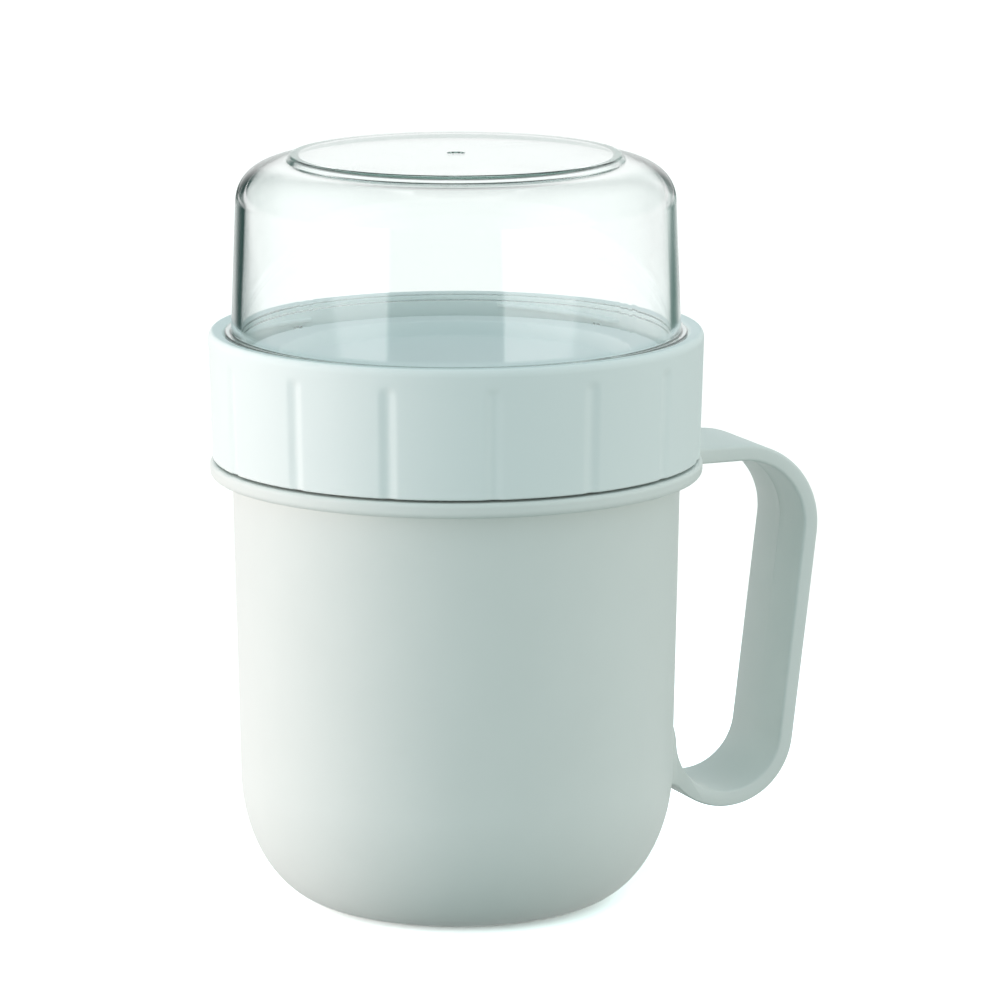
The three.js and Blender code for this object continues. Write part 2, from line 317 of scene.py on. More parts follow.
@dataclass(frozen=True)
class Ridge:
    """Helical ridges with a rounded section on a round wall, which fade into the wall at both ends.

    The default sizes are those of the screw thread.
    """

    wall: float
    bottom: float
    stands: Stands
    starts: int = 4
    first: float = 0.0
    reach: float = 1.2
    height: float = 1.4
    lead: float = 16.0
    sweep: float = 60.0
    taper: float = 4.0
    sunk: float = 0.35
    squareness: float = 4.0
    steps_a_degree: float = 0.9

    def shell(self, start: float) -> Shell:
        """One ridge as a profile carried along a helix.

        At share s of its length the ridge lies at angle start + s sweep and rises by lead times the turn.
        Its section is half a superellipse, of its height and reach, on a base sunk into the wall, and the
        section's stand-off is eased to nothing over the taper at both ends.

        Args:
            start: angle of the lower end, in degrees.

        Returns:
            The points in mm and the faces.
        """
        run = np.linspace(0, self.sweep, num=round(self.sweep * self.steps_a_degree))
        side, rise = superellipse(np.linspace(0, math.pi, num=15), self.squareness)
        up = np.concatenate([self.height / 2 * (1 - side), [self.height, 0.0]])
        off = np.concatenate([self.reach * rise, [-self.sunk, -self.sunk]])
        fade = ease(run, 0, self.taper) * ease(self.sweep - run, 0, self.taper)
        stand = (off + self.sunk)[None] * fade[:, None] - self.sunk
        radius = self.wall + self.stands.value * stand
        angle = np.radians(start + run)[:, None]
        height = self.bottom + self.lead * run[:, None] / 360 + up[None]
        return tube(np.stack([radius * np.cos(angle), radius * np.sin(angle), height], -1))

    def copies(self) -> Shell:
        """All starts of the ridge, evenly round the axis, from its first angle in degrees."""
        return together([self.shell(self.first + 360 * copy / self.starts) for copy in range(self.starts)])


def make_piece(name: str, shell: Shell) -> Piece:
    """Makes a mesh object at the origin, smooth except at edges sharper than the set angle.

    Args:
        name: name of the piece.
        shell: points in mm and faces.

    Returns:
        The new object, linked to the scene.
    """
    points, faces = shell
    mesh = bpy.data.meshes.new(name)
    mesh.from_pydata(points * MM, [], faces)
    mesh.shade_smooth()
    mesh.set_sharp_from_angle(angle=SMOOTH_UP_TO)
    piece = bpy.data.objects.new(name, mesh)
    bpy.context.scene.collection.objects.link(piece)
    return piece


def dress(pieces: list[Piece], node: str, body: Body, material: bpy.types.Material) -> None:
    """Gives pieces their finish, ties them to their CAD body, and hides the CAD node that they stand for.

    Args:
        pieces: the new pieces.
        node: CAD node that they stand for.
        body: CAD body that they move with.
        material: their finish.
    """
    for piece in pieces:
        piece.data.materials.append(material)
        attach(piece, body.value)
        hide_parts(node)
        log.info("%s: %d faces, moves with %s", piece.name, len(piece.data.polygons), body.value)


# Finishes


def linear(code: str) -> Colour:
    """Turns an sRGB code, a hash sign and six hex digits, into linear red, green, blue and an alpha of 1."""
    srgb = np.array([int(code[place:place + 2], 16) for place in (1, 3, 5)]) / 255
    return (*np.where(srgb <= 0.04045, srgb / 12.92, ((srgb + 0.055) / 1.055) ** 2.4).tolist(), 1.0)


def add_node(tree: Tree, kind: str, inputs: dict, **settings: object) -> bpy.types.Node:
    """Adds a node with its settings, and sets or links its inputs.

    Args:
        tree: node tree that gets the node.
        kind: Blender's name of the node type, without its ShaderNode prefix.
        inputs: value, or output socket to link, by the name or number of the input.
        settings: the node's own properties.

    Returns:
        The new node.
    """
    node = tree.nodes.new("ShaderNode" + kind)
    for name, value in settings.items():
        setattr(node, name, value)
    for name, value in inputs.items():
        if isinstance(value, Socket):
            tree.links.new(value, node.inputs[name])
        else:
            node.inputs[name].default_value = value
    return node


def maths(tree: Tree, operation: str, *values: float | Socket) -> Socket:
    """Adds a maths node with its values in order, and gives its result."""
    return add_node(tree, "Math", dict(enumerate(values)), operation=operation).outputs[0]


def mixed(tree: Tree, share: Socket, first: Colour | Socket, second: Colour | Socket) -> Socket:
    """Mixes two colours: a colour mix has them at inputs 6 and 7, and its result at output 2."""
    return add_node(tree, "Mix", {0: share, 6: first, 7: second}, data_type="RGBA").outputs[2]


def blank_material(name: str) -> tuple[bpy.types.Material, Tree]:
    """A new material and its empty node tree."""
    material = bpy.data.materials.new(name)
    material.use_nodes = True
    material.node_tree.nodes.clear()
    return material, material.node_tree


@dataclass(frozen=True)
class MouldedFinish:
    """An opaque moulded plastic or rubber: faint clouds in the colour and gloss, and a fine grain."""

    name: str
    colour: str
    cloud_colour: str
    roughness: float
    roughness_spread: float
    ior: float
    cloud_mm: float
    grain_mm: float
    grain_depth_mm: float

    def material(self) -> bpy.types.Material:
        """Builds the material.

        Slow noise mixes the two colours and shifts the roughness, and fine noise drives the bump.

        Returns:
            The new material.
        """
        material, tree = blank_material(self.name)
        place = add_node(tree, "TexCoord", {}).outputs["Object"]
        cloud = add_node(tree, "TexNoise", {"Vector": place, "Scale": 1 / (self.cloud_mm * MM)})
        grain = add_node(tree, "TexNoise", {
            "Vector": place, "Scale": 1 / (self.grain_mm * MM), "Detail": 1.0,
        })
        colour = mixed(tree, cloud.outputs["Fac"], linear(self.colour), linear(self.cloud_colour))
        rough = add_node(tree, "MapRange", {
            "Value": cloud.outputs["Fac"], "From Min": NOISE_LOW, "From Max": NOISE_HIGH,
            "To Min": self.roughness - self.roughness_spread,
            "To Max": self.roughness + self.roughness_spread,
        })
        bump = add_node(tree, "Bump", {
            "Distance": self.grain_depth_mm * MM, "Height": grain.outputs["Fac"],
        })
        shader = add_node(tree, "BsdfPrincipled", {
            "Base Color": colour, "Roughness": rough.outputs["Result"], "IOR": self.ior,
            "Normal": bump.outputs["Normal"],
        })
        add_node(tree, "OutputMaterial", {"Surface": shader.outputs["BSDF"]})
        return material


@dataclass(frozen=True)
class ClearFinish:
    """A clear polished plastic: it bends light, takes up a little red, and has faint flow waves."""

    name: str
    roughness: float
    ior: float
    depth_colour: str
    depth_density: float
    wave_mm: float
    wave_depth_mm: float

    def material(self) -> bpy.types.Material:
        """Builds the material.

        Slow noise drives a very faint bump, and the body of the plastic absorbs light.

        Returns:
            The new material.
        """
        material, tree = blank_material(self.name)
        place = add_node(tree, "TexCoord", {}).outputs["Object"]
        wave = add_node(tree, "TexNoise", {
            "Vector": place, "Scale": 1 / (self.wave_mm * MM), "Detail": 0.0,
        })
        bump = add_node(tree, "Bump", {
            "Distance": self.wave_depth_mm * MM, "Height": wave.outputs["Fac"],
        })
        shader = add_node(tree, "BsdfPrincipled", {
            "Roughness": self.roughness, "IOR": self.ior, "Transmission Weight": 1.0,
            "Base Color": linear(WHITE), "Normal": bump.outputs["Normal"],
        })
        depth = add_node(tree, "VolumeAbsorption", {
            "Color": linear(self.depth_colour), "Density": self.depth_density,
        })
        add_node(tree, "OutputMaterial", {
            "Surface": shader.outputs["BSDF"], "Volume": depth.outputs["Volume"],
        })
        return material


# Satin mould-textured polypropylene: a warm, soft white with a broad, dull highlight. The real grain is
# finer than a pixel, so it is drawn about three times as coarse.
CUP_POLYPROPYLENE = MouldedFinish(
    name="satin_moulded_polypropylene", colour="#EBEEEA", cloud_colour="#E7EAE6", roughness=0.46,
    roughness_spread=0.03, ior=1.49, cloud_mm=14.0, grain_mm=0.7, grain_depth_mm=0.012,
)
# Polypropylene from a polished mould: a cooler white with a closer sheen and hardly any grain.
COLLAR_POLYPROPYLENE = MouldedFinish(
    name="smooth_moulded_polypropylene", colour="#F1F7F5", cloud_colour="#EFF5F3", roughness=0.5,
    roughness_spread=0.02, ior=1.49, cloud_mm=18.0, grain_mm=1.1, grain_depth_mm=0.006,
)
# Clear polished styrene acrylonitrile: glassy, faintly green in its thickness, bright at its edges.
DOME_STYRENE = ClearFinish(
    name="clear_styrene_acrylonitrile", roughness=0.015, ior=1.57, depth_colour="#DDF0EA",
    depth_density=18.0, wave_mm=16.0, wave_depth_mm=0.02,
)
# Moulded silicone: a soft, dull, slightly creamy white.
SEAL_SILICONE = MouldedFinish(
    name="moulded_silicone", colour="#EEEEE9", cloud_colour="#E6E6E0", roughness=0.62,
    roughness_spread=0.05, ior=1.41, cloud_mm=8.0, grain_mm=0.6, grain_depth_mm=0.015,
)


# Sub-assemblies


@dataclass(frozen=True)
class StrapHandle:
    """Flat strap that leaves the flange level, bends down and runs back into the wall."""

    standoff: float = 31.0
    width: float = 22.8
    thickness: float = 3.3
    top_bend: float = 17.3
    bottom_bend: float = 15.1
    foot_height: float = 15.1
    run_out: float = 7.0
    blend: float = 1.0
    edge_round: float = 0.7
    fillet: float = 0.8
    root_depth: float = 1.2
    below_flange_top: float = 0.03
    seam_height: float = 0.12
    seam_width: float = 0.5
    # Where the level start begins, past the neck, and where points are packed round the flange's edge.
    start: float = 1.0
    edge_inside: float = 1.8
    edge_outside: float = 0.8
    level_start: float = 1.3
    # Points past the level start over which the seam line fades.
    seam_fade: tuple[int, int] = (22, 44)

    def lines(self, cup: "Cup") -> tuple[Array, Array, Array]:
        """Outer and inner line of the strap in the XZ plane, point beside point.

        Both run straight out of the flange, round concentric top bends, straight down along the line that
        touches both bends, and round the bottom bends. There the outer line levels out into the wall along a
        quadratic curve, and the inner line leans back into it as the square of the way up.

        Args:
            cup: the cup that carries the strap.

        Returns:
            The outer points, the inner points, and how strong the mould's seam line is at each.
        """
        reach = cup.wall_at(cup.shoulder) + self.standoff
        level = cup.shoulder - self.below_flange_top
        top = np.array([reach - self.top_bend, level - self.top_bend])
        low_height = self.foot_height + self.bottom_bend
        wall = cup.wall_at(low_height)
        low = np.array([wall + self.bottom_bend - self.thickness, low_height])
        apart = top - low
        lean = math.atan2(*apart) + math.asin((self.top_bend - self.bottom_bend) / np.linalg.norm(apart))
        edge = math.sqrt(wall ** 2 - (self.width / 2) ** 2) - cup.wall / 2
        blend_radius = cup.wall_at(self.foot_height) + self.blend
        blend_angle = math.acos((low[0] - blend_radius) / self.bottom_bend) - math.pi
        blend_start = arc(low, self.bottom_bend, blend_angle, blend_angle, 1)[0]
        blend_end = blend_start[1] + self.blend

        level_x = np.concatenate([
            [cup.neck + self.start],
            cup.flange + np.linspace(-self.edge_inside, self.edge_outside, num=16),
            np.linspace(cup.flange + self.level_start, top[0], num=8),
        ])
        share = np.linspace(0, 1, num=24)[1:-1, None]
        up = np.linspace(0, 1, num=20)[1:, None]

        def side(inset: float, low_end: float, foot: Array) -> Array:
            """One of the two lines, at an inset from the outer bends, with its own lower end."""
            over = arc(top, self.top_bend - inset, math.pi / 2, -lean, count=28)
            under = arc(low, self.bottom_bend - inset, -lean, low_end, count=52)
            straight = over[-1] + (under[0] - over[-1]) * share
            out = np.column_stack([level_x, np.full(len(level_x), level - inset)])
            return np.concatenate([out, over[1:], straight, under, foot])

        pull = np.array([cup.wall_at(blend_end), blend_end])
        sunk = np.array([edge, blend_end])
        outer_foot = (1 - up) ** 2 * blend_start + 2 * up * (1 - up) * pull + up ** 2 * sunk
        inner_foot = np.column_stack([wall - (wall - edge) * up ** 2, low_height + self.run_out * up])
        outer = side(0.0, blend_angle, outer_foot)
        inner = side(self.thickness, -math.pi, inner_foot)
        fade_start, fade_end = (len(level_x) + point for point in self.seam_fade)
        return outer, inner, 1 - ease(np.arange(len(outer)), fade_start, fade_end)

    def shell(self, cup: "Cup") -> Shell:
        """The strap as a rounded rectangle carried along its two lines.

        A point of the section lies at a share of the local thickness plus an offset from the outer line, and
        at its place across the width. Near the wall the width grows by the offset of a circular fillet, and
        no point goes deeper into the wall than the root.

        Args:
            cup: the cup that carries the strap.

        Returns:
            The points in mm and the faces.
        """
        outer, inner, seam = self.lines(cup)
        turn = np.linspace(0, math.pi / 2, num=6)
        half, rounding = self.width / 2, self.edge_round
        flat = half - rounding
        face = np.linspace(-flat, flat, num=9)
        seam_line = np.linspace(-self.seam_width / 2, self.seam_width / 2, num=7)
        inner_face = np.sort(np.concatenate([face[face != 0], seam_line]))[::-1]
        drop, bulge = rounding * (1 - np.cos(turn)), flat + rounding * np.sin(turn)
        bend = len(turn) - 1
        share = np.repeat([0.0, 1.0, 0.0], [len(face) + bend, 2 * bend + len(inner_face), bend])
        offset = np.concatenate([
            0 * face, drop[1:], -drop[:0:-1], 0 * inner_face, -drop[1:], drop[:0:-1],
        ])
        across = np.concatenate([face, bulge[1:], bulge[:0:-1], inner_face, -bulge[1:], -bulge[:0:-1]])
        rise = np.clip(1 - np.abs(across) * 2 / self.seam_width, 0, 1) * (share == 1)

        depth = np.linalg.norm(inner - outer, axis=1)[:, None]
        way = unit(inner - outer)
        into = share * depth + offset + rise * self.seam_height * seam[:, None]
        x, z = (outer[:, axis, None] + way[:, axis, None] * into for axis in (0, 1))
        y = np.repeat(across[None], len(outer), axis=0)
        clear = np.clip(np.hypot(x, y) - cup.outside_at(z), 0, self.fillet)
        spread = self.fillet - np.sqrt(self.fillet ** 2 - (self.fillet - clear) ** 2)
        y = y * (1 + spread / half)
        radius = np.hypot(x, y)
        held = np.maximum(radius, cup.outside_at(z) - self.root_depth) / radius
        return tube(np.stack([x * held, y * held, z], -1))


@dataclass(frozen=True)
class Cup:
    """Moulded cup with a rounded base, a flange, a screw neck and a strap handle."""

    shoulder: float = 91.0
    rim: float = 105.7
    mouth: float = 43.55
    wall: float = 2.2
    floor: float = 2.4
    draft: float = 1.1
    corner_width: float = 18.3
    corner_height: float = 26.8
    neck: float = 45.55
    rim_round: float = 0.7
    flange: float = 49.95
    flange_thickness: float = 3.1
    flange_round_below: float = 1.2
    flange_round_above: float = 0.9
    flange_fillet: float = 0.8
    neck_fillet: float = 0.4
    foot_ring: float = 21.3
    foot_slope: float = 0.8
    foot_round: float = 0.5
    foot_recess: float = 0.6
    gate_radius: float = 1.6
    gate_height: float = 0.35
    gate_slope: float = 0.3
    gate_round: float = 0.2
    handle: StrapHandle = StrapHandle()
    thread: Ridge = Ridge(wall=neck, bottom=100.13, stands=Stands.OUTWARDS)

    def wall_at(self, height: Amount) -> Amount:
        """Outer radius of the drafted wall at a height."""
        return self.mouth - math.tan(math.radians(self.draft)) * (self.rim - height) + self.wall

    def outside_at(self, height: Array) -> Array:
        """Outer radius of the cup below its neck: quarter ellipse, drafted wall, then flange."""
        below = np.clip(1 - height / self.corner_height, 0, 1)
        pulled_in = self.corner_width * (1 - np.sqrt(1 - below ** 2))
        plain = self.wall_at(np.maximum(height, self.corner_height)) - pulled_in
        return np.where(height > self.shoulder - self.flange_thickness, self.flange, plain)

    def body(self) -> Shell:
        """The cup without its handle: its section turned about the axis."""
        corner_centre = (self.wall_at(self.corner_height) - self.corner_width, self.corner_height)
        underside = self.shoulder - self.flange_thickness
        gate_end = self.foot_recess - self.gate_height
        line = rounded(
            corner(0, gate_end),
            corner(self.gate_radius - self.gate_slope, gate_end, self.gate_round),
            corner(self.gate_radius, self.foot_recess, self.gate_round),
            corner(self.foot_ring - self.foot_slope, self.foot_recess, self.foot_round),
            corner(self.foot_ring, 0, self.foot_round),
            bow(corner_centre, self.corner_width, self.corner_height, start=-90, end=0, count=42),
            corner(self.wall_at(underside), underside, self.flange_fillet),
            corner(self.flange, underside, self.flange_round_below),
            corner(self.flange, self.shoulder, self.flange_round_above),
            corner(self.neck, self.shoulder, self.neck_fillet),
            corner(self.neck, self.rim, self.rim_round),
            corner(self.mouth, self.rim, self.rim_round),
            bow(
                corner_centre, self.corner_width - self.wall, self.corner_height - self.floor,
                start=0, end=-90, count=30,
            ),
            corner(0, self.floor),
        )
        return turned(braced(line), circle(count=192))

    def build(self) -> list[Piece]:
        """Makes the cup's meshes."""
        return [
            make_piece("cup_body", self.body()),
            make_piece("strap_handle", self.handle.shell(self)),
            make_piece("neck_threads", self.thread.copies()),
        ]

    def dress(self, pieces: list[Piece]) -> None:
        """Gives the cup's pieces their satin polypropylene."""
        dress(pieces, "cup", Body.CUP, CUP_POLYPROPYLENE.material())


@dataclass(frozen=True)
class ScrewCollar:
    """Collar that screws on to the cup, with grip grooves, a tray above and ramps for the dome."""

    bottom: float = 91.5
    top: float = 117.55
    bore: float = 47.25
    skirt_wall: float = 2.15
    draft: float = 1.7
    rim_bore: float = 47.173
    crest_width: float = 1.0
    crest_height: float = 1.7
    rim_fall: float = 0.4
    edge_round: float = 0.5
    channel: float = 109.9
    channel_floor: float = 2.0
    ring_outer: float = 42.523
    ring_inner: float = 35.623
    ring_top: float = 113.3
    tray: float = 110.3
    tray_slope: float = 1.5
    tray_floor: float = 2.0
    tray_round: float = 0.8
    under_offset: float = 1.0
    under_round: float = 1.0
    seat_round: float = 0.4
    lip_round: float = 0.6
    plug_outer: float = 42.45
    plug_wall: float = 2.0
    plug_bottom: float = 104.0
    grooves: int = 15
    first_groove: float = 15.5
    groove_width: float = 4.4
    groove_depth: float = 0.4
    groove_top_margin: float = 3.3
    groove_run_out: float = 2.2
    # Distances from the bore between which a groove's depth sets in, so that the inside stays round.
    groove_none: float = 0.9
    groove_full: float = 1.6
    # How far the finer rows reach past a groove's end, and the finer columns, as a share of its width.
    groove_margin: float = 0.3
    groove_spread: float = 0.55
    thread: Ridge = Ridge(wall=bore, bottom=98.13, stands=Stands.INWARDS)
    ramp: Ridge = Ridge(
        wall=rim_bore, bottom=113.33, stands=Stands.INWARDS, first=17.7, reach=1.1, height=1.0, lead=12.0,
        sweep=40.0,
    )

    def skirt_at(self, height: Amount) -> Amount:
        """Outer radius of the drafted skirt at a height."""
        return self.bore + self.skirt_wall + math.tan(math.radians(self.draft)) * (height - self.bottom)

    def groove_swell(self, angle: Array, radius: Array, height: Array) -> Array:
        """Depth of the grip grooves, as what they take off the radius.

        Across its width a groove is half a turn of a raised cosine. It fades out below the rim over the
        run-out, and it cuts only the outer face of the skirt.

        Args:
            angle: angle round the axis, in radians.
            radius: radius of the plain skirt.
            height: height of the point.

        Returns:
            What is added to the radius, zero or less.
        """
        away = np.abs(off_nearest(angle, self.grooves, math.radians(self.first_groove))) * radius
        share = np.clip(away / (self.groove_width / 2), 0, 1)
        end = self.top - self.groove_top_margin
        fade = 1 - ease(height, end - self.groove_run_out, end)
        outside = ease(radius, self.bore + self.groove_none, self.bore + self.groove_full)
        return -self.groove_depth / 2 * (1 + np.cos(math.pi * share)) * fade * outside

    def body(self) -> Shell:
        """The collar without its ridges: its section turned about the axis, with the grooves."""
        underside = self.channel - self.channel_floor
        tray_under, ring_under = self.tray - self.tray_floor, self.ring_top - self.tray_floor
        tray_edge = self.ring_inner - self.tray_slope
        plug_inner = self.plug_outer - self.plug_wall
        groove_end = self.top - self.groove_top_margin
        fade_start = groove_end - self.groove_run_out
        fine = np.linspace(fade_start - self.groove_margin, groove_end + self.groove_margin, num=9)
        crest_bottom = self.top - self.crest_height
        crest_centre = (self.skirt_at(crest_bottom) - self.crest_width, crest_bottom)
        line = rounded(
            corner(0, tray_under),
            corner(tray_edge + self.under_offset, tray_under, self.under_round),
            corner(self.ring_inner + self.tray_floor, ring_under, self.under_round),
            corner(plug_inner, ring_under, self.lip_round),
            corner(plug_inner, self.plug_bottom, self.lip_round),
            corner(self.plug_outer, self.plug_bottom, self.lip_round),
            corner(self.plug_outer, underside, self.seat_round),
            corner(self.bore, underside, self.seat_round),
            corner(self.bore, self.bottom, self.edge_round),
            corner(self.skirt_at(self.bottom), self.bottom, self.edge_round),
            corner(self.skirt_at(fine), fine),
            bow(crest_centre, self.crest_width, self.crest_height, start=0, end=90, count=16),
            corner(self.rim_bore, self.top - self.rim_fall, self.edge_round),
            corner(self.rim_bore, self.channel, self.edge_round),
            corner(self.ring_outer, self.channel, self.edge_round),
            corner(self.ring_outer, self.ring_top, self.edge_round),
            corner(self.ring_inner, self.ring_top, self.lip_round),
            corner(tray_edge, self.tray, self.tray_round),
            corner(0, self.tray),
        )
        spread = self.groove_spread * self.groove_width / self.skirt_at(self.bottom)
        first = math.radians(self.first_groove)
        angles = circle(count=165, features=self.grooves, first=first, spread=spread, dense=19)
        return turned(braced(line), angles, self.groove_swell)

    def build(self) -> list[Piece]:
        """Makes the collar's meshes."""
        return [
            make_piece("collar_body", self.body()),
            make_piece("collar_threads", self.thread.copies()),
            make_piece("dome_ramps", self.ramp.copies()),
        ]

    def dress(self, pieces: list[Piece]) -> None:
        """Gives the collar's pieces their smooth polypropylene."""
        dress(pieces, "screw_collar", Body.COLLAR, COLLAR_POLYPROPYLENE.material())


@dataclass(frozen=True)
class ClearDome:
    """Clear pot turned upside down, with a raised flat end, a bead at the rim and pegs at its foot."""

    foot: float = 111.7
    top: float = 153.2
    foot_radius: float = 45.723
    wall: float = 2.0
    end_wall: float = 1.3
    draft: float = 2.3
    shoulder_height: float = 8.6
    shoulder_radius: float = 34.2
    shoulder_fullness: float = 2.15
    plateau: float = 33.3
    plateau_height: float = 1.3
    plateau_round: float = 0.5
    end_round: float = 0.6
    foot_round: float = 0.5
    bead_bottom: float = 116.167
    bead_top: float = 117.317
    bead_radius: float = 46.823
    bead_round: float = 0.3
    bead_low_round: float = 0.2
    bead_fillet: float = 0.15
    gate_radius: float = 1.85
    gate_depth: float = 0.22
    gate_slope: float = 0.3
    gate_floor: float = 0.7
    gate_round: float = 0.12
    dot_drop: float = 0.15
    dot_round: float = 0.1
    pegs: int = 4
    first_peg: float = 25.7
    peg_bottom: float = 112.0
    peg_height: float = 1.2
    peg_width: float = 2.0
    peg_reach: float = 1.1
    peg_round: float = 0.5
    # A peg swells the outer face in full down to the first depth, and nothing below the second.
    peg_full: float = 0.8
    peg_none: float = 1.2
    # How far the finer rows reach past the foot and the pegs, and the finer columns, as a share of a width.
    margin_below: float = 0.05
    margin_above: float = 0.15
    peg_spread: float = 0.7

    def wall_at(self, height: Amount) -> Amount:
        """Outer radius of the drafted wall at a height."""
        return self.foot_radius - math.tan(math.radians(self.draft)) * (height - self.foot)

    def peg_swell(self, angle: Array, radius: Array, height: Array) -> Array:
        """Stand-off of the pegs: the reach, eased to nothing at each peg's sides, top and bottom.

        Args:
            angle: angle round the axis, in radians.
            radius: radius of the plain wall.
            height: height of the point.

        Returns:
            What is added to the radius, zero or more.
        """
        away = np.abs(off_nearest(angle, self.pegs, math.radians(self.first_peg))) * radius
        half = self.peg_width / 2
        across = 1 - ease(away, half - self.peg_round, half)
        top = self.peg_bottom + self.peg_height
        up = ease(height, self.peg_bottom, self.peg_bottom + self.peg_round)
        down = 1 - ease(height, top - self.peg_round, top)
        outside = ease(radius, self.foot_radius - self.peg_none, self.foot_radius - self.peg_full)
        return self.peg_reach * across * up * down * outside

    def body(self) -> Shell:
        """The dome: its section turned about the axis, with the pegs."""
        ledge = self.top - self.plateau_height
        spring = ledge - self.shoulder_height
        centre = (self.shoulder_radius, spring)
        across = self.wall_at(spring) - self.shoulder_radius
        peg_top = self.peg_bottom + self.peg_height
        fine = np.linspace(
            self.foot + self.foot_round + self.margin_below, peg_top + self.margin_above, num=14,
        )
        gate_bottom, dot_top = self.top - self.gate_depth, self.top - self.dot_drop
        gate_edge = self.gate_radius - self.gate_slope
        dot_edge = gate_edge - self.gate_floor
        line = rounded(
            corner(0, self.top - self.end_wall),
            corner(self.plateau - self.end_wall, self.top - self.end_wall, self.end_round),
            corner(self.shoulder_radius - self.end_wall, ledge - self.end_wall, self.plateau_round),
            bow(
                centre, across - self.wall, self.shoulder_height - self.end_wall, start=90, end=0,
                count=34, fullness=self.shoulder_fullness,
            ),
            corner(self.wall_at(self.foot) - self.wall, self.foot, self.foot_round),
            corner(self.wall_at(self.foot), self.foot, self.foot_round),
            corner(self.wall_at(fine), fine),
            corner(self.wall_at(self.bead_bottom), self.bead_bottom, self.bead_fillet),
            corner(self.bead_radius, self.bead_bottom, self.bead_low_round),
            corner(self.bead_radius, self.bead_top, self.bead_round),
            corner(self.wall_at(self.bead_top), self.bead_top, self.bead_round),
            bow(centre, across, self.shoulder_height, 0, 90, count=40, fullness=self.shoulder_fullness),
            corner(self.plateau, self.top, self.plateau_round),
            corner(self.gate_radius, self.top, self.gate_round),
            corner(gate_edge, gate_bottom, self.gate_round),
            corner(dot_edge, gate_bottom, self.gate_round),
            corner(dot_edge - self.gate_slope, dot_top, self.dot_round),
            corner(0, dot_top),
        )
        spread = self.peg_spread * self.peg_width / self.foot_radius
        first = math.radians(self.first_peg)
        angles = circle(count=180, features=self.pegs, first=first, spread=spread, dense=23)
        return turned(braced(line), angles, self.peg_swell)

    def build(self) -> list[Piece]:
        """Makes the dome's mesh, through which lamps shine straight."""
        piece = make_piece("dome_shell", self.body())
        piece.visible_shadow = False
        piece.visible_diffuse = False
        return [piece]

    def dress(self, pieces: list[Piece]) -> None:
        """Gives the dome its clear styrene acrylonitrile."""
        dress(pieces, "clear_dome", Body.DOME, DOME_STYRENE.material())


@dataclass(frozen=True)
class SealRing:
    """Flat silicone ring with rounded edges."""

    piece_name: str
    node: str
    body: Body
    inner: float
    outer: float
    low: float
    high: float
    edge_round: float = 0.35

    def build(self) -> list[Piece]:
        """Makes the ring's mesh: a rounded rectangle turned about the axis."""
        middle = (self.inner + self.outer) / 2
        line = rounded(
            corner(middle, self.low),
            corner(self.outer, self.low, self.edge_round),
            corner(self.outer, self.high, self.edge_round),
            corner(self.inner, self.high, self.edge_round),
            corner(self.inner, self.low, self.edge_round),
            corner(middle, self.low),
        )[:-1]
        return [make_piece(self.piece_name, turned(line, circle(count=144), ring=True))]

    def dress(self, pieces: list[Piece]) -> None:
        """Gives the ring its silicone."""
        dress(pieces, self.node, self.body, SEAL_SILICONE.material())


# Studio


@dataclass(frozen=True)
class Softbox:
    """An area lamp, placed by how far it is to the right, towards the camera and up, in metres."""

    name: str
    right: float
    towards: float
    up: float
    width: float
    height: float
    watts: float
    colour: str


